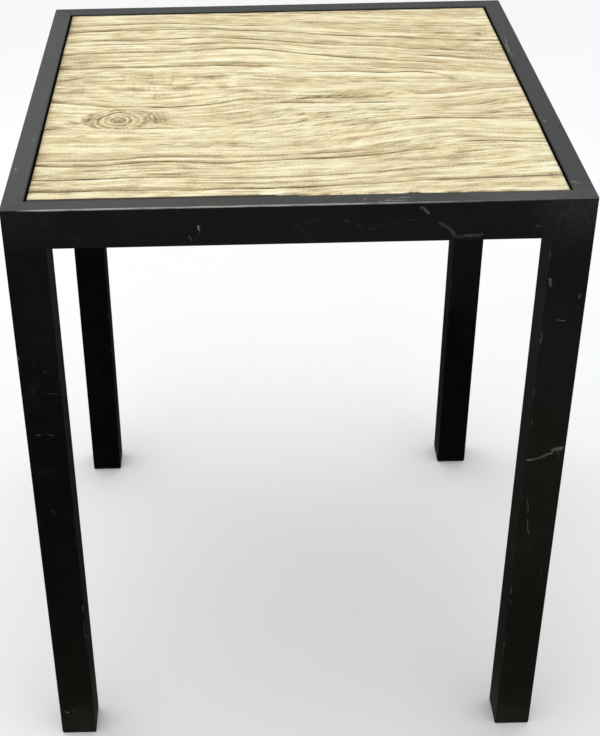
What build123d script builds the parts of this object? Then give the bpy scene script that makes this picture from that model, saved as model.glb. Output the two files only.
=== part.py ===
"""A square cafe table: a welded frame of steel tube with an inset laminate panel.

Millimetres, +Z up, +X to the right and +Y to the back. The origin is on the floor,
under the middle of the tabletop.
"""

from build123d import *
import os

# The whole table
table_width = 609.6
table_depth = 609.6
table_height = 762.0

# Square tube of the legs and rectangular tube of the rim
leg_side = 44.45
rail_width = 22.225
rail_height = 44.45
tube_wall = 1.65
tube_corner = 2.2
tube_inner_corner = tube_corner - tube_wall

# Inset panel: a board between two laminates, a little below the rim
panel_gap = 2.4
panel_recess = 1.5
laminate_thickness = 0.8
core_thickness = 16.0
backing_thickness = 0.8

# Plate over the part of a leg's end that the narrower rails leave open
plate_thickness = 3.0

# Angle inside each rail that the panel rests on, clear of the corner plates below it
ledge_width = 20.0
ledge_thickness = 2.0
ledge_inner_radius = 1.5
ledge_corner = 2.5
ledge_foot_gap = 2.35

# Plastic cap in the foot of each leg
cap_lip = 3.0
cap_setback = 0.3
cap_edge_radius = 1.0
plug_height = 16.0
plug_wall = 2.0
plug_corner = 2.0
plug_clearance = 1.5
fin_count = 3
fin_thickness = 1.0
fin_first_height = 3.0
fin_spacing = 4.5

# Pan-head screws that hold the panel down, ending inside the core
screw_cover = 2.8
screw_shank_radius = 2.1
screw_tip_length = 3.0
screw_tip_radius = 0.3
screw_head_radius = 4.0
screw_head_height = 3.0
screw_head_flat_radius = 2.2
screw_head_crown = 3.0
screw_drive_length = 4.4
screw_drive_width = 0.9
screw_drive_depth = 1.6
screw_hole_clearance = 0.35
screws_per_ledge = 2
screw_end_distance = 140.0

# Levels and inner sizes that follow from them
ring_bottom = table_height - rail_height
panel_top = table_height - panel_recess
core_top = panel_top - laminate_thickness
core_bottom = core_top - core_thickness
panel_bottom = core_bottom - backing_thickness
opening_width = table_width - 2 * rail_width
opening_depth = table_depth - 2 * rail_width
panel_width = opening_width - 2 * panel_gap
panel_depth = opening_depth - 2 * panel_gap
leg_inner_side = leg_side - 2 * tube_wall
plug_side = leg_inner_side - 2 * plug_clearance
plug_inner_side = plug_side - 2 * plug_wall
cap_side = leg_side - 2 * cap_setback
ledge_bottom = panel_bottom - ledge_thickness
ledge_foot = ring_bottom + plate_thickness + ledge_foot_gap
ledge_height = panel_bottom - ledge_foot
screw_hole_radius = screw_shank_radius + screw_hole_clearance
screw_inset = rail_width + ledge_width / 2
screw_tip_level = core_top - screw_cover
screw_length = screw_tip_level - ledge_bottom

os.makedirs("parts", exist_ok=True)


def finish(built, label):
    """Names a finished piece and writes it to its own file."""
    built.part.label = label
    export_step(built.part, f"parts/{label}.step")


def side_plane(turn):
    """The table's ground plane, turned about +Z so that its own -Y looks out of one side."""
    return Plane.XY.rotated((0, 0, turn))


# Each side of the table: its name, its plane, the length of its outer face, and how
# far that face stands from the middle.
sides = [
    ("front", side_plane(0), table_width, table_depth / 2),
    ("right", side_plane(90), table_depth, table_width / 2),
    ("back", side_plane(180), table_width, table_depth / 2),
    ("left", side_plane(270), table_depth, table_width / 2),
]

# Each corner of the table: its name and the side of the middle that it is on.
corners = [
    ("front_left", -1, -1),
    ("front_right", 1, -1),
    ("back_left", -1, 1),
    ("back_right", 1, 1),
]


def across(side, start):
    """A plane square to a side's length, with X towards the table's back from that side."""
    origin = side.from_local_coords((start, 0, 0))
    return Plane(origin=origin, x_dir=side.y_dir, z_dir=side.x_dir)


def mitred_block(side, level, length, reach, width, height, corner):
    """The room that a bar takes on its side of a frame with mitred, rounded corners."""
    with BuildPart() as block:
        with BuildSketch(side.offset(level)):
            RectangleRounded(length, 2 * reach, corner)
            with BuildLine():
                Polyline(
                    (-length / 2, -reach),
                    (length / 2, -reach),
                    (length / 2 - width, -reach + width),
                    (-length / 2 + width, -reach + width),
                    close=True,
                )
            make_face(mode=Mode.INTERSECT)
        extrude(amount=height)
    return block.part


def leg_centre(corner_x, corner_y):
    """Where the middle of a leg stands in plan."""
    x = corner_x * (table_width - leg_side) / 2
    y = corner_y * (table_depth - leg_side) / 2
    return x, y


# Rim rails: rectangular tube, mitred, with the outer corner of the rim ground to the
# same radius as the legs below it.
for name, side, length, reach in sides:
    rail_room = mitred_block(
        side, ring_bottom, length, reach, rail_width, rail_height, tube_corner
    )
    with BuildPart() as rail:
        with BuildSketch(across(side, -length / 2)):
            with Locations((-reach + rail_width / 2, ring_bottom + rail_height / 2)):
                RectangleRounded(rail_width, rail_height, tube_corner)
                RectangleRounded(
                    rail_width - 2 * tube_wall,
                    rail_height - 2 * tube_wall,
                    tube_inner_corner,
                    mode=Mode.SUBTRACT,
                )
        extrude(amount=length)
        add(rail_room, mode=Mode.INTERSECT)
    finish(rail, f"{name}_rail")

# Legs: square tube from the foot cap's lip up to the underside of the rim.
for name, corner_x, corner_y in corners:
    with BuildPart() as leg:
        with BuildSketch(Plane.XY.offset(cap_lip)):
            with Locations(leg_centre(corner_x, corner_y)):
                RectangleRounded(leg_side, leg_side, tube_corner)
                RectangleRounded(
                    leg_inner_side, leg_inner_side, tube_inner_corner, mode=Mode.SUBTRACT
                )
        extrude(amount=ring_bottom - cap_lip)
    finish(leg, f"{name}_leg")

# Corner plates: the part of each leg's outline that is inside the rim, on the leg's end.
for name, corner_x, corner_y in corners:
    with BuildPart() as plate:
        with BuildSketch(Plane.XY.offset(ring_bottom)):
            with Locations(leg_centre(corner_x, corner_y)):
                RectangleRounded(leg_side, leg_side, tube_corner)
            Rectangle(opening_width, opening_depth, mode=Mode.INTERSECT)
        extrude(amount=plate_thickness)
    finish(plate, f"{name}_corner_plate")


def screw_spots(length, reach):
    """Where a side's screws stand in plan, evenly spread along the middle of its ledge."""
    span = length - 2 * screw_end_distance
    pitch = span / (screws_per_ledge - 1)
    return [(-span / 2 + index * pitch, -reach + screw_inset) for index in range(screws_per_ledge)]


def drill_for_screws(level, radius, depth):
    """The holes of a level's screws, as solids that stand upwards from it."""
    with BuildPart() as drills:
        for name, side, length, reach in sides:
            with BuildSketch(side.offset(level)):
                with Locations(*screw_spots(length, reach)):
                    Circle(radius)
            extrude(amount=depth)
    return drills.part


# Ledges: steel angle, mitred like the rails, with its outer corners eased to clear the
# welds in the rim's corners, and with holes for the panel screws.
screw_drills = drill_for_screws(ledge_bottom, screw_hole_radius, ledge_thickness)
for name, side, length, reach in sides:
    ledge_length = length - 2 * rail_width
    ledge_reach = reach - rail_width
    ledge_room = mitred_block(
        side, ledge_foot, ledge_length, ledge_reach, ledge_width, ledge_height, ledge_corner
    )
    with BuildPart() as ledge:
        with BuildSketch(across(side, -ledge_length / 2)) as angle:
            with BuildLine():
                Polyline(
                    (-ledge_reach, panel_bottom),
                    (-ledge_reach + ledge_width, panel_bottom),
                    (-ledge_reach + ledge_width, ledge_bottom),
                    (-ledge_reach + ledge_thickness, ledge_bottom),
                    (-ledge_reach + ledge_thickness, ledge_foot),
                    (-ledge_reach, ledge_foot),
                    close=True,
                )
            make_face()
            root = (-ledge_reach + ledge_thickness, ledge_bottom)
            fillet(angle.vertices().sort_by_distance(root)[0], ledge_inner_radius)
        extrude(amount=ledge_length)
        add(ledge_room, mode=Mode.INTERSECT)
        add(screw_drills, mode=Mode.SUBTRACT)
    finish(ledge, f"{name}_ledge")

# Tabletop: the wood-look laminate, the board under it and the backing laminate. The
# board and the backing have pilot holes that the screws fill.
with BuildPart() as top_laminate:
    with BuildSketch(Plane.XY.offset(core_top)):
        Rectangle(panel_width, panel_depth)
    extrude(amount=laminate_thickness)
finish(top_laminate, "top_laminate")

pilot_holes = drill_for_screws(panel_bottom, screw_shank_radius, screw_tip_level - panel_bottom)
with BuildPart() as tabletop_core:
    with BuildSketch(Plane.XY.offset(core_bottom)):
        Rectangle(panel_width, panel_depth)
    extrude(amount=core_thickness)
    add(pilot_holes, mode=Mode.SUBTRACT)
finish(tabletop_core, "tabletop_core")

with BuildPart() as backing_laminate:
    with BuildSketch(Plane.XY.offset(panel_bottom)):
        Rectangle(panel_width, panel_depth)
    extrude(amount=backing_thickness)
    add(pilot_holes, mode=Mode.SUBTRACT)
finish(backing_laminate, "backing_laminate")

# Panel screws: crossed-slot pan heads under the ledges, shanks up through them into the
# core. Each profile is drawn from the underside of the ledge, with its axis upright.
with BuildPart() as panel_screws:
    for name, side, length, reach in sides:
        for spot_x, spot_y in screw_spots(length, reach):
            seat = side.from_local_coords((spot_x, spot_y, ledge_bottom))
            with BuildSketch(Plane(origin=seat, x_dir=side.x_dir, z_dir=-side.y_dir)):
                with BuildLine():
                    Line((0, -screw_head_height), (screw_head_flat_radius, -screw_head_height))
                    RadiusArc(
                        (screw_head_flat_radius, -screw_head_height),
                        (screw_head_radius, 0),
                        -screw_head_crown,
                    )
                    Polyline(
                        (screw_head_radius, 0),
                        (screw_shank_radius, 0),
                        (screw_shank_radius, screw_length - screw_tip_length),
                        (screw_tip_radius, screw_length),
                        (0, screw_length),
                        (0, -screw_head_height),
                    )
                make_face()
            revolve(axis=Axis(seat, (0, 0, 1)))
            with BuildSketch(Plane(origin=seat).offset(-screw_head_height)):
                Rectangle(screw_drive_length, screw_drive_width)
                Rectangle(screw_drive_width, screw_drive_length)
            extrude(amount=screw_drive_depth, mode=Mode.SUBTRACT)
finish(panel_screws, "panel_screws")

# Foot caps: a lip under the tube's end, and a hollow plug with fins that grip inside.
for name, corner_x, corner_y in corners:
    centre = leg_centre(corner_x, corner_y)
    with BuildPart() as foot_cap:
        with BuildSketch():
            with Locations(centre):
                RectangleRounded(cap_side, cap_side, tube_corner)
        extrude(amount=cap_lip)
        fillet(foot_cap.faces().sort_by(Axis.Z)[0].edges(), cap_edge_radius)
        with BuildSketch(Plane.XY.offset(cap_lip)):
            with Locations(centre):
                RectangleRounded(plug_side, plug_side, plug_corner)
                Rectangle(plug_inner_side, plug_inner_side, mode=Mode.SUBTRACT)
        extrude(amount=plug_height)
        for index in range(fin_count):
            fin_level = cap_lip + fin_first_height + index * fin_spacing
            with BuildSketch(Plane.XY.offset(fin_level)):
                with Locations(centre):
                    RectangleRounded(leg_inner_side, leg_inner_side, tube_inner_corner)
                    Rectangle(plug_inner_side, plug_inner_side, mode=Mode.SUBTRACT)
            extrude(amount=fin_thickness)
    finish(foot_cap, f"{name}_foot_cap")
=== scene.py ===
"""Looks of the bistro table: paint, wood-look panel, hidden parts, floor, light and camera."""

import math

import bmesh
import bpy
import numpy as np
from mathutils import Matrix, Vector


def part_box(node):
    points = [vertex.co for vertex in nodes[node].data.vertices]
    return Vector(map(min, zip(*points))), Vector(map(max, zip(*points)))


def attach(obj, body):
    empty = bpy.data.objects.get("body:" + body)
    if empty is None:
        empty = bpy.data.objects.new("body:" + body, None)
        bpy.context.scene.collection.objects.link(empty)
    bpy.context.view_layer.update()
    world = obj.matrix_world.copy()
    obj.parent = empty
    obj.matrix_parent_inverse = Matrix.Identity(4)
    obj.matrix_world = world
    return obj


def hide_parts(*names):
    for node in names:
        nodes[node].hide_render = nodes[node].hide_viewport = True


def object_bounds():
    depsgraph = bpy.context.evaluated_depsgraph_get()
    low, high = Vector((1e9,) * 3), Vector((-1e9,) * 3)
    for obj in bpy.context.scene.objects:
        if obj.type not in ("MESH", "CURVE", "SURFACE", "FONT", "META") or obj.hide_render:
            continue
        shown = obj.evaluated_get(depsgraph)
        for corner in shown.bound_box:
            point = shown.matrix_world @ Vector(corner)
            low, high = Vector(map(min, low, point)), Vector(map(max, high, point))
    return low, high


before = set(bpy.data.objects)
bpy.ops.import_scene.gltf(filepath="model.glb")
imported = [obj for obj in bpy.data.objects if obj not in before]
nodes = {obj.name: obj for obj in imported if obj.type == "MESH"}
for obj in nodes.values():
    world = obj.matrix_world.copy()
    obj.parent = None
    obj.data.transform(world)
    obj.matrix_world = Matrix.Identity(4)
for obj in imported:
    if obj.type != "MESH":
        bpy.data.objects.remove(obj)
cad_low, cad_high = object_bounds()

MM = 0.001
panel_low, panel_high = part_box("top_laminate")
leg_low, leg_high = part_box("front_left_leg")

TOP = cad_high.z
FRONT = cad_low.y
RIGHT = cad_high.x
LEG = leg_high.x - leg_low.x
SPAN = 554.0  # the grain is drawn on a square this wide, in steps of about a millimetre
STEP = (panel_high.x - panel_low.x) / SPAN  # one such step in metres


# ---------------------------------------------------------------- shader building

def fill_ramp(node, stops):
    """Gives a colour ramp node its stops, each a position and a colour."""
    elements = node.color_ramp.elements
    while len(elements) < len(stops):
        elements.new(0.5)
    for element, (position, colour) in zip(elements, stops):
        element.position = position
        element.color = (*colour, 1.0)


class Shader:
    """A material whose nodes are added by short calls, with the object's own coordinates in metres."""

    def __init__(self, name):
        self.material = bpy.data.materials.new(name)
        self.material.use_nodes = True
        self.tree = self.material.node_tree
        self.tree.nodes.clear()
        self.output = self.tree.nodes.new("ShaderNodeOutputMaterial")
        self.surface = self.tree.nodes.new("ShaderNodeBsdfPrincipled")
        self.tree.links.new(self.surface.outputs["BSDF"], self.output.inputs["Surface"])
        coordinates = self.tree.nodes.new("ShaderNodeTexCoord")
        self.place = coordinates.outputs["Object"]
        self.normal = coordinates.outputs["Normal"]

    def put(self, socket, value):
        """Links a node's output to the socket, or sets the socket's own value."""
        if isinstance(value, bpy.types.NodeSocket):
            self.tree.links.new(value, socket)
        elif value is not None:
            old = socket.default_value
            if hasattr(old, "__len__") and len(old) == 4 and len(value) == 3:
                value = (*value, 1.0)
            socket.default_value = value

    def set(self, **values):
        for name, value in values.items():
            self.put(self.surface.inputs[name.replace("_", " ")], value)

    def math(self, operation, a, b=None, clamp=False):
        node = self.tree.nodes.new("ShaderNodeMath")
        node.operation = operation
        node.use_clamp = clamp
        for socket, value in zip(node.inputs, (a, b)):
            self.put(socket, value)
        return node.outputs[0]

    def plus(self, a, b):
        return self.math("ADD", a, b)

    def times(self, first, *others):
        for other in others:
            first = self.math("MULTIPLY", first, other)
        return first

    def vector(self, operation, a, b=None, scale=None):
        node = self.tree.nodes.new("ShaderNodeVectorMath")
        node.operation = operation
        self.put(node.inputs[0], a)
        if b is not None:
            self.put(node.inputs[1], b)
        if scale is not None:
            self.put(node.inputs["Scale"], scale)
        return node.outputs["Value" if operation in ("DOT_PRODUCT", "LENGTH", "DISTANCE") else "Vector"]

    def split(self, vector):
        node = self.tree.nodes.new("ShaderNodeSeparateXYZ")
        self.put(node.inputs[0], vector)
        return node.outputs[0], node.outputs[1], node.outputs[2]

    def join(self, x, y, z):
        node = self.tree.nodes.new("ShaderNodeCombineXYZ")
        for socket, value in zip(node.inputs, (x, y, z)):
            self.put(socket, value)
        return node.outputs[0]

    def noise(self, scale, detail=3.0, roughness=0.5, distortion=0.0, stretch=None, place=None, shift=None):
        place = place or self.place
        if stretch:
            place = self.vector("MULTIPLY", place, stretch)
        if shift:
            place = self.vector("ADD", place, shift)
        node = self.tree.nodes.new("ShaderNodeTexNoise")
        self.put(node.inputs["Vector"], place)
        self.put(node.inputs["Scale"], scale)
        self.put(node.inputs["Detail"], detail)
        self.put(node.inputs["Roughness"], roughness)
        self.put(node.inputs["Distortion"], distortion)
        return node.outputs["Fac"]

    def cells(self, scale, place=None, output="Distance"):
        node = self.tree.nodes.new("ShaderNodeTexVoronoi")
        self.put(node.inputs["Vector"], place or self.place)
        self.put(node.inputs["Scale"], scale)
        return node.outputs[output]

    def step(self, value, low, high, to_low=0.0, to_high=1.0):
        """value taken smoothly from to_low at low to to_high at high."""
        node = self.tree.nodes.new("ShaderNodeMapRange")
        node.interpolation_type = "SMOOTHSTEP"
        given = {"Value": value, "From Min": low, "From Max": high, "To Min": to_low, "To Max": to_high}
        for name, number in given.items():
            self.put(node.inputs[name], number)
        return node.outputs["Result"]

    def ramp(self, value, stops):
        """The colour at value, between stops of (value, colour)."""
        node = self.tree.nodes.new("ShaderNodeValToRGB")
        fill_ramp(node, stops)
        self.put(node.inputs["Fac"], value)
        return node.outputs["Color"]

    def mix(self, share, a, b):
        """Colour a where share is 0, and b where it is 1."""
        node = self.tree.nodes.new("ShaderNodeMix")
        node.data_type = "RGBA"
        self.put(node.inputs["Factor"], share)
        self.put(node.inputs["A"], a)
        self.put(node.inputs["B"], b)
        return node.outputs["Result"]

    def read(self, name):
        """The mesh attribute of that name."""
        node = self.tree.nodes.new("ShaderNodeAttribute")
        node.attribute_name = name
        return node.outputs["Fac"]

    def bump(self, height, distance, strength):
        node = self.tree.nodes.new("ShaderNodeBump")
        self.put(node.inputs["Height"], height)
        self.put(node.inputs["Distance"], distance)
        self.put(node.inputs["Strength"], strength)
        return node.outputs["Normal"]

    def scratch(self, start, end, width, place):
        """1 along a line from start to end, fading to 0 at half its width away."""
        along = end - start
        from_start = self.vector("SUBTRACT", place, tuple(start))
        passed = self.vector("DOT_PRODUCT", from_start, tuple(along))
        share = self.math("MULTIPLY", passed, 1 / along.length_squared, clamp=True)
        nearest = self.vector("SCALE", tuple(along), scale=share)
        away = self.vector("LENGTH", self.vector("SUBTRACT", from_start, nearest))
        return self.step(away, width / 2, width * 0.12)


def linear(r, g, b):
    """A colour given as 0 to 255 display values, in linear light."""
    return tuple(((c / 255 + 0.055) / 1.055) ** 2.4 if c > 10 else c / 255 / 12.92 for c in (r, g, b))


# ---------------------------------------------------------------- frame paint

BLACK = (0.005, 0.0053, 0.004)
COOL_REFLECTION_TINT = (0.9, 1.06, 1.5)  # what the black is multiplied by near the table's top corners: a painted cool reflection
FILM = (0.06, 0.057, 0.05)
SPECKS = (0.13, 0.125, 0.115)
DUST = (0.07, 0.067, 0.058)
SCUFFED = (0.24, 0.235, 0.21)
CHIPPED = (0.17, 0.16, 0.14)
WORN_AND_HIGHLIGHT = (0.43, 0.43, 0.38)
SIDE_DUST_AND_SHEEN = (0.036, 0.04, 0.028)
# How much the legs' sides are lightened, against the height as a share of the table's: real dust near the
# foot and painted reflected light higher up.
SIDE_DUST_AND_SHEEN_SHARE = [(0.03, 0.85), (0.12, 0.2), (0.25, 0.0), (0.5, 0.08), (0.72, 0.28), (0.93, 0.55)]


def black_coat_and_painted_light(s, leg_light_and_shade, broad, smudge, nx):
    """The paint's colour, slightly uneven, with painted light: a painted cool reflection near the top
    corners, and on the legs painted light and shade changing down a leg, with dust and painted reflected
    light on their sides.
    """
    x, _, z = s.split(s.place)
    shade = BLACK
    height = s.plus(s.math("DIVIDE", z, TOP), s.times(s.math("SUBTRACT", broad, 0.5), 0.16))
    # a leg's colours change with height as painted light and shade, except on the faces that face backwards
    if leg_light_and_shade:
        behind = s.step(s.split(s.normal)[1], 0.5, 0.9)
        shade = s.mix(behind, s.ramp(height, leg_light_and_shade), BLACK)
    shade = s.vector("SCALE", shade, scale=s.step(broad, 0.3, 0.7, 0.85, 1.2))
    # a painted cool reflection near the top corners
    cool_reflection = s.times(s.step(z, TOP - 0.24, TOP - 0.1), s.step(s.math("ABSOLUTE", x), 0.12, 0.25))
    shade = s.mix(cool_reflection, shade, s.vector("MULTIPLY", shade, COOL_REFLECTION_TINT))
    if leg_light_and_shade:
        # dust low on the legs' sides, and painted reflected light higher up on them
        dust_and_sheen = s.split(s.ramp(height, [(share, (much,) * 3) for share, much in SIDE_DUST_AND_SHEEN_SHARE]))[0]
        dust_and_sheen = s.times(dust_and_sheen, s.step(nx, 0.5, 0.9), s.step(smudge, 0.2, 0.7, 0.6, 1.0))
        shade = s.mix(dust_and_sheen, shade, SIDE_DUST_AND_SHEEN)
    return shade


def dust_haze(s, dust, smudge, nz, shift):
    """How dusty each place is."""
    haze = 0.0
    for centre, radius, strength, *on_top_only in dust:
        away = s.vector("DISTANCE", s.place, tuple(centre))
        away = s.plus(away, s.times(s.math("SUBTRACT", smudge, 0.5), radius * 0.8))
        spot = s.times(s.step(away, radius, radius * 0.2), strength)
        if on_top_only:
            spot = s.times(spot, s.step(nz, 0.5, 0.95))
        haze = s.math("MAXIMUM", haze, spot)
    return s.times(haze, s.step(s.noise(480.0, 3.0, 0.7, shift=shift), 0.4, 0.68, 0.25, 1.0))


def scuff_marks(s, scuffs, shift):
    """How strongly each place is scuffed, along strokes that wander a little and break up."""
    wander = s.join(*(s.noise(60.0, 1.0, shift=by) for by in (None, (5, 0, 0), (0, 5, 0))))
    wander = s.vector("SUBTRACT", wander, (0.5, 0.5, 0.5))
    bent = s.vector("ADD", s.place, s.vector("SCALE", wander, scale=0.006))
    marks = 0.0
    for start, end, width, strength in scuffs:
        marks = s.math("MAXIMUM", marks, s.times(s.scratch(start, end, width, bent), strength))
    return s.times(marks, s.step(s.noise(520.0, 2.0, 0.7, shift=shift), 0.36, 0.6, 0.15, 1.0))


def worn_and_highlit_line(s, low, high, at_y, at_z):
    """How worn and highlit an edge is that runs along x from low to high, at at_y and at_z, most of all near
    low: real wear of the paint with a painted highlight along the rounded edge.
    """
    x, y, z = s.split(s.place)
    band = s.times(s.step(y, at_y + 0.0019, at_y + 0.0007), s.step(z, at_z - 0.0017, at_z - 0.0005))
    run = s.times(s.step(x, low, low + 0.03), s.step(x, high, high - 0.32))
    rub = s.step(s.noise(34.0, 5.0, 0.7, stretch=(1, 8, 8)), 0.32, 0.56, 0.25, 1.0)
    return s.times(band, run, rub)


def paint(name, scuffs=(), dust=(), seed=0.0, worn_highlit_edge=None, leg_light_and_shade=None, gloss=0.5):
    """Satin black paint: fine orange peel, smudges, dust, chips along the edges and the given scuffs, with
    painted light and shade where asked.

    scuffs holds (start, end, width, strength) and dust (centre, radius, strength), all in metres. Dust with
    a fourth value lies on the upward faces only. The worn edge holds what the worn line asks for: real wear
    of the
    paint with a painted highlight. The tones hold a leg's colours against its height, as a share of the
    table's:
    painted light and shade down the leg.
    """
    s = Shader(name)
    shift = (seed, seed * 1.7, seed * 0.6)
    broad = s.noise(7.0, 3.0, 0.55, shift=shift)
    smudge = s.noise(34.0, 4.0, 0.6, 0.4, shift=shift)
    fine = s.noise(260.0, 3.0, 0.6, shift=shift)
    peel = s.noise(620.0, 2.0, 0.5)
    nx, ny, nz = s.split(s.vector("ABSOLUTE", s.normal))

    colour = black_coat_and_painted_light(s, leg_light_and_shade, broad, smudge, nx)
    film = s.times(s.step(smudge, 0.5, 0.78), s.step(fine, 0.35, 0.7))
    colour = s.mix(s.times(film, 0.1), colour, FILM)
    speckled = s.step(s.noise(45.0, 2.0, 0.6, shift=shift), 0.56, 0.7)
    specks = s.times(s.step(s.cells(210.0), 0.16, 0.06), speckled)
    colour = s.mix(s.times(specks, 0.35), colour, SPECKS)
    if dust:
        colour = s.mix(dust_haze(s, dust, smudge, nz, shift), colour, DUST)

    rough = s.plus(s.plus(0.37, s.times(broad, 0.12)), s.times(film, 0.12))
    if scuffs:
        marks = scuff_marks(s, scuffs, shift)
        colour = s.mix(marks, colour, SCUFFED)
        rough = s.plus(rough, s.times(marks, 0.2))

    corner = s.step(s.math("MAXIMUM", s.math("MAXIMUM", nx, ny), nz), 0.985, 0.86)
    chips = s.times(corner, s.step(s.noise(95.0, 4.0, 0.7, shift=shift), 0.6, 0.7))
    colour = s.mix(s.times(chips, 0.5), colour, CHIPPED)
    # the front top edge: real wear of the paint with a painted highlight along it
    if worn_highlit_edge:
        colour = s.mix(s.times(worn_and_highlit_line(s, *worn_highlit_edge), 0.9), colour, WORN_AND_HIGHLIGHT)

    s.set(Base_Color=colour, Roughness=rough, Specular_IOR_Level=gloss, Specular_Tint=(0.955, 1.0, 0.96))
    s.set(Normal=s.bump(s.plus(peel, s.times(fine, 0.6)), 0.00006, 0.55))
    return s.material


def on_front(x_mm, below_mm):
    """A point on the frame's front faces, from its distance right of the middle and below the top."""
    return Vector((x_mm * MM, FRONT, TOP - below_mm * MM))


def on_top(x_mm, y_mm):
    """A point on the frame's top faces, from its distances right of the middle and behind it."""
    return Vector((x_mm * MM, y_mm * MM, TOP))


def strokes(points, width, strength):
    """Scuff strokes that follow a row of points."""
    return [(a, b, width, strength) for a, b in zip(points, points[1:])]


front_scuffs = (
    strokes([on_front(-104.0, 20.5), on_front(-101.6, 28), on_front(-104.5, 36)], 0.0024, 0.8)
    + strokes([on_front(-112, 33), on_front(-110, 37)], 0.003, 0.3)
    + strokes([on_front(-8, 26), on_front(16, 17.5), on_front(47, 19.5), on_front(77, 31)], 0.0014, 0.17)
    + strokes([on_front(77, 24), on_front(127, 20)], 0.0012, 0.15)
    + strokes([on_front(124, 6), on_front(131.5, 11)], 0.005, 0.3)
    + strokes([on_front(144, 24), on_front(160, 37)], 0.0055, 0.19)
    + strokes([on_front(161, 39.5), on_front(188, 38.5)], 0.0045, 0.2)
    + strokes([on_front(242, 30), on_front(247, 31.5)], 0.004, 0.2)
    + strokes([on_top(88, -299), on_top(98, -294), on_top(112, -291.5)], 0.0026, 1.0)
    + strokes([on_top(82, -300.5), on_top(96, -299.5), on_top(110, -298)], 0.003, 0.8)
    + strokes([on_top(65, -298), on_top(71, -292)], 0.002, 0.7)
    + strokes([on_top(-99, -303), on_top(-97, -302.6)], 0.003, 0.6)
    + strokes([on_top(35, -303), on_top(37, -302.6)], 0.003, 0.5)
)
left_leg_scuffs = (
    strokes([on_front(-301, 20), on_front(-296, 20.6)], 0.002, 0.64)
    + strokes([on_front(-277, 196), on_front(-272, 198)], 0.003, 0.19)
    + strokes([on_front(-289.6, 224.7), on_front(-263, 225.4)], 0.0012, 0.22)
    + strokes([on_front(-292, 280), on_front(-276, 281)], 0.0024, 0.26)
    + strokes([on_front(-279, 302), on_front(-277, 304)], 0.003, 0.32)
    + strokes([on_front(-285, 390), on_front(-284, 393)], 0.003, 0.15)
    + strokes([on_front(-303.5, 176), on_front(-303.5, 179)], 0.003, 0.6)
    + strokes([on_front(-261.5, 518), on_front(-261.5, 617)], 0.0014, 0.32)
    + strokes([on_front(-297, 722), on_front(-294, 724)], 0.003, 0.48)
    + strokes([on_front(-287, 720), on_front(-284, 722)], 0.0024, 0.48)
)
right_leg_scuffs = (
    strokes([on_front(264, 93), on_front(265, 101)], 0.005, 0.5)
    + strokes([on_front(276, 143), on_front(284, 144)], 0.0022, 0.48)
    + strokes([on_front(297, 112), on_front(298, 117)], 0.0024, 0.32)
    + strokes([on_front(261.5, 160), on_front(262, 176)], 0.002, 0.35)
    + strokes([on_front(264, 239), on_front(265, 243)], 0.003, 0.26)
    + strokes([on_front(261.5, 267), on_front(262, 282)], 0.002, 0.38)
    + strokes([on_front(264, 331), on_front(276, 329), on_front(290, 321.5), on_front(294, 315)], 0.0045, 0.5)
    + strokes([on_front(291, 318), on_front(300, 315)], 0.008, 0.62)
    + strokes([on_front(296, 321), on_front(298, 331)], 0.0025, 0.3)
    + strokes([on_front(267, 385), on_front(270, 410), on_front(275, 443)], 0.0014, 0.42)
    + strokes([on_front(297, 497), on_front(294.5, 500.5), on_front(296.5, 504)], 0.0016, 0.32)
    + strokes([on_front(261.5, 525), on_front(262.5, 553)], 0.0018, 0.42)
    + strokes([on_front(261.5, 607), on_front(262, 655)], 0.0018, 0.32)
    + strokes([on_front(294, 662), on_front(297, 664)], 0.003, 0.32)
)
right_rim_scuffs = (
    strokes([on_top(290.5, 161), on_top(285.5, 128), on_top(287, 97)], 0.003, 0.9)
    + strokes([on_top(287, -107), on_top(288.5, -111)], 0.004, 0.64)
    + strokes([on_top(289, -178), on_top(289.5, -182)], 0.003, 0.48)
    + strokes([on_top(286, -264), on_top(292, -270)], 0.005, 0.56)
)
left_rim_scuffs = (
    strokes([on_top(-288, -129), on_top(-288, -134)], 0.004, 0.48)
    + strokes([on_top(-300, -203), on_top(-300, -208)], 0.003, 0.64)
)
corner_dust = [(on_front(285, 4), 0.06, 0.36), (on_front(-296, 10), 0.04, 0.07)]
rim_dust = [(on_top(240, -296), 0.09, 0.7, True), (on_top(-200, -296), 0.17, 0.42, True)]
foot_dust = [
    (Vector((sx * (RIGHT - LEG), sy * (RIGHT - LEG / 2), 0.0)), 0.07, 0.3) for sx in (-1, 1) for sy in (-1, 1)
]

# Legs' colours against their height, as a share of the table's: painted light and shade down each leg, and on
# the back legs painted shade from the table, near black.
left_leg_light_and_shade = [
    (0.02, (0.0058, 0.0054, 0.0028)), (0.14, (0.004, 0.0036, 0.0012)), (0.34, (0.0012, 0.0009, 0.0)),
    (0.6, (0.0008, 0.0007, 0.0)), (0.69, (0.0014, 0.0022, 0.0018)), (0.85, (0.0028, 0.003, 0.0024)),
]
right_leg_light_and_shade = [
    (0.02, (0.006, 0.0056, 0.0028)), (0.2, (0.0048, 0.0043, 0.0014)), (0.4, (0.0062, 0.0058, 0.0026)),
    (0.64, (0.0072, 0.0072, 0.0034)), (0.76, (0.0048, 0.0056, 0.0048)), (0.9, (0.0054, 0.0058, 0.0042)),
]
back_leg_painted_shade = [(0.0, (0.0, 0.0003, 0.0)), (0.34, (0.0001, 0.0004, 0.0)), (0.47, (0.0045, 0.0056, 0.005))]
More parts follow.
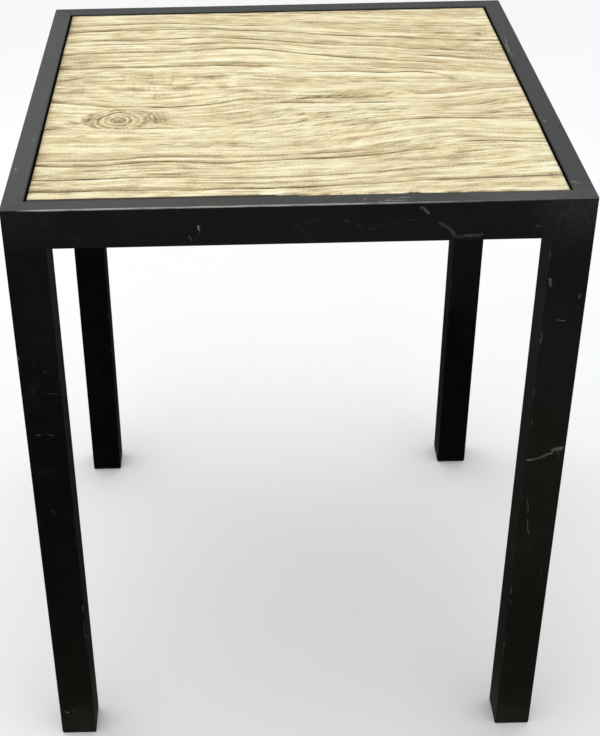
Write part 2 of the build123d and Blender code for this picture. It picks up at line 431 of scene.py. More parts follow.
paints = {
    "front_rail": paint(
        "paint_front_rail", front_scuffs, corner_dust + rim_dust, 0.3,
        worn_highlit_edge=(cad_low.x + 0.012, cad_low.x + 0.6, FRONT, TOP),
    ),
    "right_rail": paint("paint_right_rail", right_rim_scuffs, corner_dust[:1], 1.1),
    "left_rail": paint(
        "paint_left_rail", left_rim_scuffs, corner_dust[1:] + [(on_top(-294, 0), 0.6, 0.62, True)], 2.3
    ),
    "back_rail": paint("paint_back_rail", seed=3.1),
    "front_left_leg": paint(
        "paint_front_left_leg", left_leg_scuffs, corner_dust[1:] + foot_dust, 4.7,
        leg_light_and_shade=left_leg_light_and_shade, gloss=0.43,
    ),
    "front_right_leg": paint(
        "paint_front_right_leg", right_leg_scuffs, corner_dust[:1] + foot_dust, 5.9,
        leg_light_and_shade=right_leg_light_and_shade,
    ),
    "back_left_leg": paint("paint_back_left_leg", seed=6.3, leg_light_and_shade=back_leg_painted_shade[:2], gloss=0.3),
    "back_right_leg": paint("paint_back_right_leg", seed=7.7, leg_light_and_shade=back_leg_painted_shade, gloss=0.3),
}
inner_paint = paint("paint_inner", seed=9.2)


# ---------------------------------------------------------------- small and hidden parts

def foot_plastic():
    s = Shader("foot_cap_plastic")
    rub = s.noise(120.0, 5.0, 0.65, 0.3)
    pores = s.noise(900.0, 2.0, 0.5)
    colour = s.ramp(rub, [
        (0.35, (0.012, 0.012, 0.012)), (0.6, (0.024, 0.024, 0.023)), (0.8, (0.075, 0.07, 0.062)),
    ])
    s.set(Base_Color=colour, Roughness=s.step(rub, 0.3, 0.8, 0.5, 0.8), Specular_IOR_Level=0.4)
    s.set(Normal=s.bump(s.plus(rub, s.times(pores, 0.3)), 0.00015, 0.6))
    return s.material


def pressed_board():
    """Pressed wood, darkened near black along its edges, where the gap in the tabletop leaves them open, as
    painted shade.
    """
    s = Shader("pressed_board")
    flakes = s.cells(320.0, place=s.vector("MULTIPLY", s.place, (0.5, 0.5, 1.6)), output="Color")
    tone = s.plus(s.times(s.split(flakes)[0], 0.6), s.times(s.noise(700.0, 4.0, 0.7), 0.5))
    colour = s.ramp(tone, [
        (0.15, (0.1, 0.055, 0.026)), (0.5, (0.25, 0.15, 0.075)), (0.85, (0.42, 0.29, 0.16)),
    ])
    x, y, _ = s.split(s.vector("ABSOLUTE", s.place))
    # painted shade: the board's edges, where the gap and the chips show them, darkened near black
    gap_shade = s.step(s.math("MAXIMUM", x, y), panel_high.x - 0.008, panel_high.x - 0.005, 0.0, 0.9)
    colour = s.mix(gap_shade, colour, (0.014, 0.013, 0.012))
    s.set(Base_Color=colour, Roughness=0.92, Specular_IOR_Level=0.2)
    s.set(Normal=s.bump(tone, 0.0004, 0.7))
    return s.material


def backing_sheet():
    s = Shader("backing_sheet")
    blotch = s.noise(9.0, 5.0, 0.6, 0.5)
    speckle = s.noise(430.0, 3.0, 0.6)
    grime = s.step(s.noise(28.0, 4.0, 0.65), 0.5, 0.75)
    tone = s.plus(s.times(blotch, 0.7), s.times(speckle, 0.3))
    colour = s.ramp(tone, [(0.3, (0.16, 0.115, 0.075)), (0.7, (0.25, 0.19, 0.13))])
    colour = s.mix(s.times(grime, 0.35), colour, (0.09, 0.07, 0.052))
    s.set(Base_Color=colour, Roughness=s.step(blotch, 0.3, 0.7, 0.6, 0.78), Specular_IOR_Level=0.3)
    s.set(Normal=s.bump(speckle, 0.00008, 0.6))
    return s.material


def screw_steel():
    s = Shader("zinc_screw")
    turn = s.noise(1500.0, 2.0, 0.5, stretch=(1, 1, 0.2))
    tarnish = s.noise(180.0, 4.0, 0.6)
    colour = s.ramp(tarnish, [
        (0.35, (0.56, 0.55, 0.52)), (0.62, (0.42, 0.4, 0.36)), (0.8, (0.22, 0.17, 0.12)),
    ])
    s.set(Base_Color=colour, Metallic=1.0, Roughness=s.step(tarnish, 0.3, 0.8, 0.3, 0.62))
    s.set(Normal=s.bump(turn, 0.00004, 0.5))
    return s.material


def dress(node, material):
    """Gives a CAD node its material, in every slot that its object has."""
    obj = nodes[node]
    if not obj.material_slots:
        obj.data.materials.append(material)
    for one in obj.material_slots:
        one.link = "OBJECT"
        one.material = material


materials = dict(
    paints, tabletop_core=pressed_board(), backing_laminate=backing_sheet(), panel_screws=screw_steel()
)
plastic = foot_plastic()
for node in nodes:
    dress(node, plastic if node.endswith("foot_cap") else materials.get(node, inner_paint))


# ---------------------------------------------------------------- wood-look panel
# The face is drawn in steps of STEP: u to the right from the panel's left edge, v forward from its back edge.

GRAIN = [  # the main lines: (strength, points)
    (0.45, [(50, 16), (150, 16), (200, 29), (277, 33)]),
    (0.4, [(277, 4), (366, 11), (421, 21), (477, 23), (554, 29)]),
    (0.7, [(4, 41), (89, 35), (122, 35), (164, 40), (222, 50), (277, 53)]),
    (0.9, [
        (0, 67), (33, 61), (111, 60), (178, 58), (211, 67),
        (277, 76), (361, 96), (410, 102), (466, 113), (554, 124),
    ]),
    (0.5, [(277, 36), (321, 43), (373, 50), (433, 60), (477, 67), (554, 69)]),
    (1.0, [
        (4, 101), (67, 95), (124, 97), (173, 91), (222, 97), (277, 111),
        (344, 129), (393, 134), (439, 146), (513, 160), (554, 168),
    ]),
    (0.6, [(29, 109), (138, 114), (222, 113), (277, 122), (326, 140), (361, 142)]),
    (1.0, [
        (0, 147), (22, 141), (133, 141), (216, 132), (251, 136),
        (277, 148), (339, 168), (399, 181), (455, 194), (488, 202),
    ]),
    (0.35, [(38, 157), (120, 154), (200, 148), (244, 149)]),
    (0.7, [(441, 167), (466, 174), (499, 180), (554, 192)]),
    (0.95, [(4, 193), (67, 190), (124, 191), (200, 191), (244, 196), (277, 198)]),
    (0.6, [(4, 233), (29, 222), (80, 221)]),
    (0.5, [(104, 227), (189, 227), (244, 221)]),
    (0.95, [(264, 214), (306, 219), (366, 219), (399, 227), (433, 223), (470, 233)]),
    (0.4, [(377, 207), (443, 213), (481, 224), (499, 227)]),
    (1.0, [
        (4, 298), (44, 308), (71, 314), (107, 316), (144, 319),
        (169, 316), (200, 310), (222, 301), (277, 301),
    ]),
    (0.8, [(277, 301), (340, 300), (410, 299)]),
    (0.8, [(410, 292), (455, 295), (484, 289), (521, 280), (554, 278)]),
    (0.75, [(250, 311), (277, 312), (333, 315), (406, 318)]),
    (0.5, [(0, 375), (27, 369), (51, 372), (71, 376), (93, 378), (144, 378), (196, 377)]),
    (0.75, [(372, 375), (399, 368), (441, 365), (477, 367), (521, 370)]),
    (0.5, [(22, 425), (67, 428), (167, 427), (211, 429), (244, 430)]),
    (0.85, [(455, 428), (499, 430), (521, 432), (554, 436)]),
    (0.5, [(13, 458), (67, 462), (124, 455), (156, 455), (213, 465)]),
    (1.0, [
        (11, 472), (33, 475), (71, 474), (124, 466), (156, 467), (200, 474),
        (277, 467), (321, 467), (377, 457), (419, 448), (444, 446),
    ]),
    (0.6, [(277, 455), (321, 452), (366, 444)]),
    (0.8, [(433, 464), (473, 455), (510, 449), (539, 446)]),
    (0.45, [(377, 475), (419, 474), (519, 467)]),
    (0.6, [
        (0, 506), (40, 507), (93, 504), (156, 505), (189, 509),
        (277, 510), (344, 505), (377, 500), (437, 492), (488, 485),
    ]),
    (0.5, [(0, 517), (142, 517), (187, 521), (244, 524), (321, 519), (373, 516), (433, 509)]),
    (0.95, [(0, 534), (107, 534), (156, 536), (277, 536), (344, 530), (406, 525), (473, 522), (554, 519)]),
]
SHORT_MARKS = [  # the same for short ones
    (0.5, [(40, 203), (109, 203)]), (0.4, [(133, 209), (189, 210)]), (0.4, [(127, 367), (156, 369)]),
    (0.4, [(49, 484), (76, 486)]), (0.4, [(144, 497), (171, 497)]), (0.6, [(470, 96), (508, 98)]),
    (0.9, [(277, 375), (287, 370), (297, 364)]), (0.7, [(24, 354), (40, 364)]), (0.6, [(20, 359), (36, 366)]),
]
SHADES = [  # brown shades: (strength, half width, points)
    (0.13, 5.0, [(165, 236), (190, 229), (215, 223), (240, 222)]),
    (0.12, 3.2, [(225, 223), (252, 229), (280, 238), (306, 243), (324, 248)]),
    (0.12, 3.4, [(197, 262), (215, 257), (247, 256), (277, 250), (318, 247)]),
    (0.16, 3.0, [(366, 224), (404, 226), (444, 225), (460, 232), (474, 243), (478, 252)]),
    (0.1, 6.0, [(476, 246), (478, 254)]),
    (0.12, 2.6, [(390, 278), (417, 273), (436, 268), (452, 266)]),
    (0.06, 2.6, [(474, 223), (486, 235), (497, 245), (492, 260), (496, 267), (518, 268)]),
    (0.12, 1.8, [(338, 284), (357, 281)]),
    (0.1, 6.0, [(76, 268), (100, 269), (114, 260)]),
    (0.1, 5.5, [(156, 255), (166, 251)]),
    (0.13, 3.6, [(186, 309), (215, 305), (244, 301)]),
    (0.07, 5.0, [(40, 240), (53, 243), (60, 236)]),
    (0.08, 4.0, [(50, 261), (28, 274)]),
    (0.1, 3.5, [(512, 31), (554, 32)]),
    (0.08, 3.0, [(420, 30), (500, 28)]),
    (0.08, 3.0, [(500, 178), (540, 188)]),
]
CRACKS = [  # fine cracks across the grain: (u, v at one end, v at the other)
    (80, 212, 246), (116, 206, 262), (140, 216, 255), (186, 224, 250), (121, 240, 300), (252, 262, 300),
    (112, 62, 72),
]
KNOT = (82.0, 354.0)
LESSER_LINES = 150
SEED = 41


def line_of(points, u, blur=14.0):
    """The line through the points as v at each u, rounded over about blur steps."""
    xs = np.arange(points[0][0] - 3 * blur, points[-1][0] + 3 * blur, 1.0)
    px, py = np.array([p[0] for p in points], float), np.array([p[1] for p in points], float)
    ys = np.interp(xs, px, py)
    before, after = xs < px[0], xs > px[-1]
    ys[before] = py[0] + (xs[before] - px[0]) * (py[1] - py[0]) / (px[1] - px[0])
    ys[after] = py[-1] + (xs[after] - px[-1]) * (py[-1] - py[-2]) / (px[-1] - px[-2])
    reach = np.arange(-blur, blur + 1)
    weights = np.cos(reach / blur * math.pi / 2) ** 2
    padded = np.pad(ys, len(reach) // 2, mode="reflect", reflect_type="odd")
    return np.interp(u, xs, np.convolve(padded, weights / weights.sum(), "valid"))


def soft_noise(rng, along, across):
    """Random values with mean 0 and spread 1, smooth over along steps of u and across steps of v.

    The grid repeats, and has a point at each step of u and each half step of v.
    """
    raw = rng.standard_normal((1280, 640))
    fu, fv = np.fft.rfftfreq(raw.shape[1]), np.fft.fftfreq(raw.shape[0])
    keep_u, keep_v = np.exp(-2 * (math.pi * fu * along) ** 2), np.exp(-2 * (math.pi * fv * across * 2) ** 2)
    out = np.fft.irfft2(np.fft.rfft2(raw) * (keep_u[None, :] * keep_v[:, None]), s=raw.shape)
    return (out - out.mean()) / out.std()


def read_grid(grid, u, v):
    """Values of a soft_noise grid at places u and v, blended between its points."""
    x0, y0 = np.floor(u).astype(int), np.floor(v * 2).astype(int)
    fx, fy = u - x0, v * 2 - y0
    x1, y1 = (x0 + 1) % grid.shape[1], (y0 + 1) % grid.shape[0]
    x0, y0 = x0 % grid.shape[1], y0 % grid.shape[0]
    top = grid[y0, x0] * (1 - fx) + grid[y0, x1] * fx
    low = grid[y1, x0] * (1 - fx) + grid[y1, x1] * fx
    return top * (1 - fy) + low * fy


def rise(x, low, high):
    """0 up to low and 1 from high on, smoothly."""
    t = np.clip((x - low) / (high - low), 0, 1)
    return t * t * (3 - 2 * t)


def band(x, low, high, soft):
    """1 between low and high, fading to 0 over soft outside them."""
    return rise(x, low - soft, low) * rise(-x, -high - soft, -high)


def hill(x, middle, half):
    """1 at the middle, falling to 1/e at half away from it."""
    return np.exp(-(((x - middle) / half) ** 2))


def near_path(points, u, v, half):
    """1 on a path through the points, falling to 1/e at half away from it."""
    away = np.full(u.shape, 1e9)
    for (u0, v0), (u1, v1) in zip(points, points[1:]):
        du, dv = u1 - u0, v1 - v0
        share = np.clip(((u - u0) * du + (v - v0) * dv) / (du * du + dv * dv), 0, 1)
        away = np.minimum(away, np.hypot(u - u0 - share * du, v - v0 - share * dv))
    return np.exp(-((away / half) ** 2))


def grain_fit(kinds, wave, stiff):
    """A function of u and v that grows with v and stays nearly level along every grain line."""

    def shapes(u, v):
        return np.stack([np.cos(i * math.pi * u / SPAN) * wave(j * math.pi * v / SPAN) for i, j in kinds], -1)

    rows, wanted = [], []
    for strength, points in GRAIN:
        u = np.linspace(points[0][0], points[-1][0], max(2, int((points[-1][0] - points[0][0]) / 12)))
        v = line_of(points, u)
        rows.append((shapes(u[1:], v[1:]) - shapes(u[:-1], v[:-1])) * strength)
        wanted.append(-(v[1:] - v[:-1]) * strength)
    rows.append(np.diag([stiff * (i * i + j * j) ** 0.75 for i, j in kinds]))
    wanted.append(np.zeros(len(kinds)))
    weights = np.linalg.lstsq(np.vstack(rows), np.concatenate(wanted), rcond=None)[0]
    return lambda u, v: v + shapes(u, v) @ weights


def mesh_rows(columns, rows):
    """v at each row and column, so that the rows bend with the grain and the panel's edges stay straight."""
    level = grain_fit([(i, j) for i in range(7) for j in range(1, 8)], np.sin, 0.1)
    fine = np.linspace(0, SPAN, 1200)
    out = np.zeros((len(rows), len(columns)))
    for k, u in enumerate(columns):
        out[:, k] = np.interp(rows, level(np.full(len(fine), u), fine), fine)
    out[0], out[-1] = 0, SPAN
    return out


def fibres(rng, u, g):
    """Streaks along the grain: soft shading, fine lines, brown dashes and pale threads."""
    tone, height = np.zeros(u.shape), np.zeros(u.shape)
    shading = ((95, 4.5, 0.028), (70, 1.7, 0.036), (34, 1.1, 0.046), (13, 1.0, 0.046), (5, 1.1, 0.044))
    for along, across, share in shading:
        value = read_grid(soft_noise(rng, along, across), u, g)
        tone += share * value
        height += 0.5 * share * value
    patchy = rise(read_grid(soft_noise(rng, 55, 18), u, g), -1.3, 0.9)
    for along, across, depth in ((5, 0.9, 0.15), (12, 0.9, 0.15), (30, 0.9, 0.14)):
        dash = rise(read_grid(soft_noise(rng, along, across), u, g), 1.05, 2.1) * patchy
        tone -= depth * dash
        height -= 0.14 * dash
    for along, across, lift in ((6, 0.9, 0.1), (18, 1.0, 0.12), (40, 1.0, 0.12)):
        thread = rise(read_grid(soft_noise(rng, along, across), u, g), 1.0, 2.1)
        tone += lift * thread
        height += 0.05 * thread
    return tone, height


def knot(rng, u, v):
    """Tone, relief and share of the knot: a core, uneven rings, a brown surround and a fan on its right."""
    du, dv = u - KNOT[0], v - KNOT[1]
    wobble = read_grid(soft_noise(rng, 4, 4), u, v)
    fine = read_grid(soft_noise(rng, 1.4, 1.4), u, v)
    turn = np.arctan2(-dv, du)
    r = np.hypot(du, dv) + 0.9 * wobble + 0.3 * fine
    tone = 0.62 + 0.05 * fine
    tone -= 0.13 * (1 - rise(r, 7.5, 9.0)) + 0.19 * hill(r, 8.8, 1.1)
    tone -= 0.15 * hill(np.hypot(du - 2.5, dv - 2), 0, 2.6)
    tone -= 0.22 * hill(np.hypot(du - 7.5, dv + 1.5), 0, 2.2)
    tone += 0.13 * hill(r, 11, 1.8)
    tone -= hill(r, 14.4, 1.5) * (0.18 + 0.12 * np.cos(turn + 0.6))
    tone += 0.12 * hill(r, 17.8, 2.0)
    tone -= hill(r, 22, 1.6) * (0.2 + 0.16 * np.cos(turn - 2.6))
    tone += 0.09 * hill(r, 25.3, 1.4)
    height = -0.1 * hill(r, 8.8, 1.1) - 0.2 * hill(r, 14.4, 1.3) - 0.22 * hill(r, 22, 1.4)

    oval = np.hypot((u - 85) / 45.0, (v - 350.5) / 29.5)
    outside = rise(r, 26.0, 28.5)
    brown = 0.49 + 0.06 * wobble + 0.08 * fine + 0.08 * np.sin(r * 1.15) * rise(du, 4, 18)
    brown += 0.1 * rise(oval, 0.9, 1.0) * (1 - rise(np.abs(turn - 1.5), 0.6, 1.4))
    tone = tone * (1 - outside) + brown * outside
    spokes = np.sin(turn * 46 + 2.0 * wobble)
    fan = rise(u, 106, 116) * (1 - rise(u, 128, 148)) * (1 - rise(np.abs(v - 349), 13, 24))
    tone += 0.035 * spokes * outside * rise(u, 90, 110)
    share = np.maximum(1 - rise(oval, 0.9, 1.06), fan * 0.85)
    tone = tone - 0.12 * hill(oval, 1.0, 0.05) * (1 - rise(u, 100, 118))
    return tone, height, np.clip(share, 0, 1)


def wood(columns, v):
    """The panel's face at each place: (along the grain, tone from 0 dark to 1 light, relief in mm, grey)."""
    rng = np.random.default_rng(SEED)
    u = np.broadcast_to(columns, v.shape)
    g = grain_fit([(i, j) for i in range(1, 9) for j in range(10)], np.cos, 0.03)(u, v)
    streaks, height = fibres(rng, u, g)
    tone = 0.715 + streaks
    mottle = read_grid(soft_noise(rng, 4, 2.2), u, v)
    tone += 0.014 * mottle

    # lesser lines between the main ones
    for _ in range(LESSER_LINES):
        g0, u0 = rng.uniform(2, SPAN - 2), rng.uniform(-80, SPAN)
        length, strength = rng.uniform(40, 230), rng.uniform(0.15, 0.6) ** 1.5
        near = strength * band(columns, u0 + 14, u0 + length - 20, 14)[None, :]
        s = g - (g0 + rng.uniform(0.3, 1.2) * np.sin(columns / rng.uniform(14, 45) + rng.uniform(0, 6.3)))
        groove = hill(s, 0, 0.9)
        tone -= near * (0.27 * groove + 0.1 * np.exp(np.minimum(s, 0) / 3.5) * (s < 0))
        tone += near * 0.16 * np.exp(-np.maximum(s, 0) / 2.6) * (s > 0.8)
        height -= 0.1 * near * groove

    # the main lines: a brown groove, a soft shade behind it and a pale band in front of it
    for strength, points in GRAIN + SHORT_MARKS:
        reach = min(24.0, 0.3 * (points[-1][0] - points[0][0]))
        ends = rise(columns, points[0][0] - 2, points[0][0] + reach) if points[0][0] > 12 else 1.0
        if points[-1][0] < SPAN - 12:
            ends = ends * rise(-columns, -points[-1][0] - 2, -points[-1][0] + reach)
        swell = 0.86 + 0.14 * np.sin(columns / rng.uniform(18, 50) + rng.uniform(0, 6.3))
        near = strength * (ends * swell)[None, :]
        line = line_of(points, columns) + 0.4 * np.sin(columns / rng.uniform(9, 16) + rng.uniform(0, 6.3))
        s = v - line[None, :]
        groove = hill(s, 0, 1.2 + 0.6 * strength)
        behind = np.exp(np.minimum(s, 0) / (3.0 + 5.0 * strength)) * (s < 1)
        infront = np.exp(-np.maximum(s, 0) / (3.0 + 2.5 * strength)) * rise(s, 0.8, 2.4)
        tone -= near * (0.36 * groove + 0.22 * behind)
        tone += near * 0.19 * infront
        height += near * (0.08 * infront - 0.04 * behind - 0.18 * groove)

    # brown shades, and curls with fine cross cracks left of the middle
    ragged = read_grid(soft_noise(rng, 3, 1.6), u, v)
    for strength, half, points in SHADES:
        shade = near_path(points, u + 2.5 * ragged, v + 0.8 * ragged, half)
        tone -= strength * shade * (1 + 0.25 * ragged)
        height -= 0.05 * shade
    figure = band(u, 40, 260, 45) * np.exp(-(((v - 250) / 38) ** 4))
    curl = read_grid(soft_noise(rng, 5, 5), u, v)
    rays = rise(read_grid(soft_noise(rng, 0.8, 7), u, v), 0.9, 2.0)
    tone += figure * (0.045 * curl - 0.07 * rays)
    height += figure * (0.08 * curl - 0.06 * rays)

    # feathered flecks right of the middle, and the combed brown band behind them
    feather = read_grid(soft_noise(rng, 1.5, 3.2), u + 0.9 * v, v)
    flecked = band(u, 270, 400, 40) * np.exp(-(((v - 350) / 36) ** 4))
    flecked += 0.6 * band(u, 170, 400, 70) * np.exp(-(((v - 408) / 27) ** 4))
    tone += flecked * (0.09 * rise(-feather, 0.4, 1.6) - 0.13 * rise(feather, 0.6, 1.8))
    height -= flecked * 0.1 * rise(feather, 0.6, 1.8)
    combed = band(u, 290, 400, 22) * hill(v + 0.06 * (u - 340), 295.5, 7.5)
    tone -= combed * (0.13 - 0.09 * feather)
    height += combed * 0.08 * feather
    tone -= 0.12 * np.exp(-(((u - 516) / 17) ** 4)) * np.exp(-(((v - 322) / 8) ** 4)) * (1 + 0.3 * feather)
    for crack_u, low, high in CRACKS:
        crack = hill(u, crack_u + 1.6 * np.sin(v / 7.0), 1.2) * band(v, low + 6, high - 6, 6)
        tone -= 0.13 * crack
        height -= 0.08 * crack

    # the dark spot near the right back corner; then the darkest tones are held back a little
    blot = hill(u, 530, 3.6) * hill(v, 97.5, 2.4) + 0.6 * hill(u, 533, 1.6) * hill(v, 101, 3.4)
    tone -= 0.5 * blot
    tone += 0.3 * np.maximum(0.5 - tone, 0)

    knot_tone, knot_height, share = knot(rng, u, v)
    tone = tone * (1 - share) + knot_tone * share
    height = height * (1 - share) + knot_height * share

    # browned edges, darkest on the left; then, along the front edge, chips with a pale fringe and painted
    # shade, a darker strip and a worn pale patch
    left = np.exp(-u / 8.0) * (0.8 + 0.2 * np.sin(v / 23.0)) * (0.75 + 0.25 * rise(-v, -330, -60))
    tone -= 0.28 * left + 0.1 * np.exp(-v / 9.0)
    chipped_and_shaded = rise(chips(u), 0.9, 2.4) * rise(v, SPAN - 9, SPAN - 5)
    tone += 0.25 * chipped_and_shaded * rise(-v, 5 - SPAN, 9 - SPAN)
    # painted shade at the chips: their broken edge darkened
    tone -= 0.5 * chipped_and_shaded * rise(v, SPAN - 6, SPAN - 3) * rise(feather, -0.9, 0.5)
    # darker along the front edge
    front_edge_darkening = band(u, -40, 250, 14) + 0.35 * band(u, 290, 600, 30) * rise(mottle, -0.5, 1)
    tone -= 0.85 * front_edge_darkening * rise(v, SPAN - 4.2, SPAN - 2.4)
    tone += 0.35 * hill(v, SPAN - 6, 4.5) * band(u, 242, 262, 5)
    grey = blot + 0.7 * chipped_and_shaded + 0.55 * np.exp(-u / 1.6) + 0.4 * hill(v, 520, 3) * band(u, 440, 545, 30)
    return g, tone, height, np.clip(grey, 0, 1)


def chips(u):
    """How far the laminate's front edge is broken back at u."""
    depth = 2.2 * rise(u, 256, 263) * rise(-u, -283, -274) + 2.6 * rise(u, 385, 392) * rise(-u, -403, -399)
    ragged = 0.75 + 0.25 * np.sin(u * 1.9) * np.sin(u * 0.71 + 1)
    return depth * ragged + 0.25 + 0.2 * np.sin(u / 19.0) * np.sin(u / 7.3 + 2)


# ---------------------------------------------------------------- the panel's mesh and material

RELIEF = 0.55  # depth of the embossed grain in mm
ROWS = 430


def panel_columns():
    """u of the mesh's columns, closest together at the knot."""
    left, middle, right = np.arange(0, 30, 3.0), np.arange(30, 152, 1.65), np.arange(152, SPAN - 2, 3.0)
    return np.concatenate([left, middle, right, [SPAN]])


def closed_sheet(name, place, low):
    """A closed mesh: a grid of points, walls from its rim down to the height low, and one face under it."""
    rows, columns = place.shape[:2]
    index = np.arange(rows * columns).reshape(rows, columns)
    quads = np.stack([index[1:, :-1], index[1:, 1:], index[:-1, 1:], index[:-1, :-1]], -1).reshape(-1, 4)
    rim = np.concatenate([index[0, :], index[1:, -1], index[-1, -2::-1], index[-2:0:-1, 0]])
    top = place.reshape(-1, 3)
    bottom = top[rim].copy()
    bottom[:, 2] = low
    under = rows * columns + np.arange(len(rim))
    walls = np.stack([rim, np.roll(rim, -1), np.roll(under, -1), under], -1)

    mesh = bpy.data.meshes.new(name)
    faces = quads.tolist() + walls.tolist() + [under[::-1].tolist()]
    mesh.from_pydata(np.vstack([top, bottom]).tolist(), [], faces)
    mesh.update()
    smooth = np.ones(len(mesh.polygons), bool)
    smooth[len(quads):] = False
    mesh.polygons.foreach_set("use_smooth", smooth)
    obj = bpy.data.objects.new(name, mesh)
    bpy.context.scene.collection.objects.link(obj)
    return obj, rim


def build_panel():
    columns = panel_columns()
    rows = np.concatenate([[0, 0.5, 1.1], np.linspace(2, SPAN - 2, ROWS), [SPAN - 1.1, SPAN - 0.5, SPAN]])
    v = mesh_rows(columns, rows)
    u = np.broadcast_to(columns, v.shape).copy()
    grain, tone, height, grey = wood(columns, v)
    height = np.clip(height - np.percentile(height, 99.5), -RELIEF, 0)

    # the sheet's edges run in a little, unevenly, and are rounded over
    back_in = 0.3 + 0.2 * np.sin(columns / 23.0) * np.sin(columns / 9.1)
    side_in = 0.3 + 0.2 * np.sin(v / 31.0)
    v += rise(-v, -8, 0) * back_in - rise(v, SPAN - 10, SPAN) * chips(columns)
    u += rise(-u, -8, 0) * side_in - rise(u, SPAN - 8, SPAN) * side_in
    from_edge = np.minimum(np.minimum(u, SPAN - u), np.minimum(v, SPAN - chips(u) - v))
    height -= 0.3 * (1 - rise(from_edge, -0.2, 1.4))

    place = np.stack([panel_low.x + u * STEP, panel_high.y - v * STEP, panel_high.z + height * MM], -1)
    obj, rim = closed_sheet("wood_panel", place, panel_low.z)
    for name, values in (("tone", tone), ("grey", grey), ("along", u * STEP), ("across", grain * STEP)):
        flat = values.reshape(-1)
        attribute = obj.data.attributes.new(name, "FLOAT", "POINT")
        attribute.data.foreach_set("value", np.concatenate([flat, flat[rim]]).astype(np.float32))
    return obj


def wood_laminate():
    s = Shader("wood_laminate")
    tone, grey = s.read("tone"), s.read("grey")
    place = s.join(s.read("along"), s.read("across"), 0.0)
    streak = s.noise(1.0, 4.0, 0.6, 0.25, stretch=(38.0, 620.0, 1.0), place=place)
    pore = s.noise(1.0, 2.0, 0.5, stretch=(150.0, 1100.0, 1.0), place=place)
    blotch = s.noise(26.0, 3.0, 0.55)
    grit = s.noise(1.0, 2.0, 0.6, stretch=(420.0, 560.0, 1.0), place=place)
    value = s.plus(tone, s.times(s.math("SUBTRACT", streak, 0.5), 0.5))
    value = s.plus(value, s.times(s.math("SUBTRACT", grit, 0.5), 0.6))
    value = s.math("SUBTRACT", value, s.times(s.step(pore, 0.6, 0.74), 0.12))
    colour = s.ramp(value, [
        (0.12, linear(55, 45, 34)), (0.28, linear(112, 96, 66)), (0.43, linear(159, 141, 103)),
        (0.567, linear(190, 174, 133)), (0.7, linear(214, 199, 158)), (0.83, linear(231, 223, 184)),
        (0.95, linear(235, 231, 205)),
    ])
    warm = s.mix(s.step(blotch, 0.35, 0.7), colour, s.vector("MULTIPLY", colour, (1.02, 0.985, 0.93)))
    colour = s.mix(s.times(grey, 0.45), warm, linear(112, 112, 112))
    rough = s.plus(s.step(value, 0.2, 0.8, 0.66, 0.5), s.times(blotch, 0.08))
    height = s.plus(s.times(streak, 0.7), s.times(pore, -0.5))
    s.set(Base_Color=colour, Roughness=rough, Specular_IOR_Level=0.4)
    s.set(Normal=s.bump(height, 0.00022, 0.7))
    return s.material


panel = build_panel()
panel.data.materials.append(wood_laminate())
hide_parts("top_laminate")
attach(panel, "root")


# ---------------------------------------------------------------- floor, light and camera

def pale_floor():
    mesh = bpy.data.meshes.new("floor")
    made = bmesh.new()
    bmesh.ops.create_grid(made, x_segments=8, y_segments=8, size=14.0)
    made.to_mesh(mesh)
    made.free()
    obj = bpy.data.objects.new("floor", mesh)
    bpy.context.scene.collection.objects.link(obj)
    s = Shader("floor_paper")
    colour = s.ramp(s.noise(2.2, 3.0, 0.5), [(0.3, (0.93, 0.93, 0.925)), (0.7, (0.955, 0.955, 0.95))])
    s.set(Base_Color=colour, Roughness=0.9, Specular_IOR_Level=0.1)
    obj.data.materials.append(s.material)
    obj.visible_glossy = False


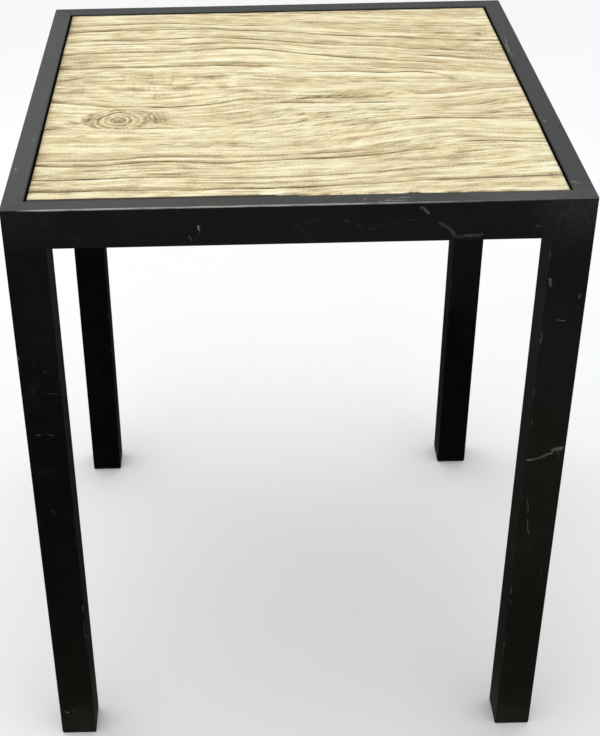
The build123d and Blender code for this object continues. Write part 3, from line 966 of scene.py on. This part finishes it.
def sky():
    """Soft light from all round, brightest overhead. The camera itself sees a plain near-white."""
    world = bpy.data.worlds.new("studio")
    bpy.context.scene.world = world
    world.use_nodes = True
    tree = world.node_tree
    tree.nodes.clear()
    out = tree.nodes.new("ShaderNodeOutputWorld")
    light = tree.nodes.new("ShaderNodeBackground")
    seen = tree.nodes.new("ShaderNodeBackground")
    choose = tree.nodes.new("ShaderNodeMixShader")
    path = tree.nodes.new("ShaderNodeLightPath")
    where = tree.nodes.new("ShaderNodeTexCoord")
    parts = tree.nodes.new("ShaderNodeSeparateXYZ")
    ramp = tree.nodes.new("ShaderNodeValToRGB")
    half = tree.nodes.new("ShaderNodeMath")
    half.operation = "MULTIPLY_ADD"
    half.inputs[1].default_value = half.inputs[2].default_value = 0.5
    levels = [
        (0.0, 0.03), (0.32, 0.035), (0.44, 0.12), (0.53, 0.15), (0.64, 0.62), (0.775, 0.95), (1.0, 1.08),
    ]
    fill_ramp(ramp, [(height, (level * 0.985, level, level * 1.01)) for height, level in levels])
    seen.inputs["Color"].default_value = (0.97, 0.97, 0.965, 1.0)
    for start, end in (
        (where.outputs["Generated"], parts.inputs[0]),
        (parts.outputs["Z"], half.inputs[0]),
        (half.outputs[0], ramp.inputs["Fac"]),
        (ramp.outputs["Color"], light.inputs["Color"]),
        (path.outputs["Is Camera Ray"], choose.inputs["Fac"]),
        (light.outputs[0], choose.inputs[1]),
        (seen.outputs[0], choose.inputs[2]),
        (choose.outputs[0], out.inputs["Surface"]),
    ):
        tree.links.new(start, end)


def overhead_light():
    data = bpy.data.lights.new("overhead", "AREA")
    data.shape = "DISK"
    data.size = 2.0
    data.energy = 17
    obj = bpy.data.objects.new("overhead", data)
    bpy.context.scene.collection.objects.link(obj)
    place, aim = Vector((-0.4, 0.5, 2.8)), Vector((0, 0, 0.6))
    obj.location = place
    obj.rotation_euler = (aim - place).to_track_quat("-Z", "Y").to_euler()


def photograph_camera():
    """The camera stands in front of the table, a little left of its middle, and looks down on it."""
    down, turn, roll = math.radians(32.887), math.radians(0.095), math.radians(-1.19)
    ahead = Vector((math.sin(turn) * math.cos(down), math.cos(turn) * math.cos(down), -math.sin(down)))
    level = Vector((math.cos(turn), -math.sin(turn), 0.0))
    upright = level.cross(ahead)
    right = math.cos(roll) * level + math.sin(roll) * upright
    up = math.cos(roll) * upright - math.sin(roll) * level
    data = bpy.data.cameras.new("camera")
    data.sensor_width = 36.0
    data.lens = 68.68
    data.shift_x, data.shift_y = 0.0849, -0.0159
    data.clip_start = 0.05
    obj = bpy.data.objects.new("camera", data)
    bpy.context.scene.collection.objects.link(obj)
    place = (-0.0680, -1.5824, 1.4070)
    obj.matrix_world = Matrix.Translation(place) @ Matrix((right, up, -ahead)).transposed().to_4x4()
    bpy.context.scene.camera = obj


pale_floor()
sky()
overhead_light()
photograph_camera()
bpy.context.scene.view_settings.view_transform = "Standard"
